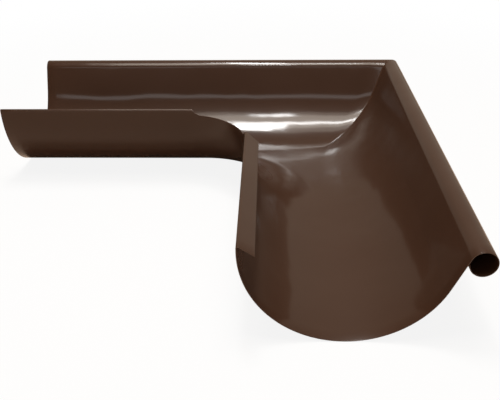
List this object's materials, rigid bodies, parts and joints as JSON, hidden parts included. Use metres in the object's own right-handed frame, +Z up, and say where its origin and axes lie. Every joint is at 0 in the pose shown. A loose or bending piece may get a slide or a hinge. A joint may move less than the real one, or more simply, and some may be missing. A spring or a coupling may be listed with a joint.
{
  "type": "gutter external corner",
  "caption": "Half-round eaves gutter corner for an outside right-angle bend, pressed in one piece, with a rolled front bead and rear water folds.",
  "frame": {"origin": "centre of the bounding box's base, on the level the trough's underside rests on", "axes": "+Z up, out of the open top; one leg runs towards -Y and the other towards -X, both ending square; +X and +Y point away from the building, to the two front beads"},
  "size_m": [0.4222, 0.4222, 0.0814],
  "materials": {
    "coated_steel": "gloss"
  },
  "bodies": {
    "root": {"gutter_corner": "coated_steel"}
  },
  "joints": []
}
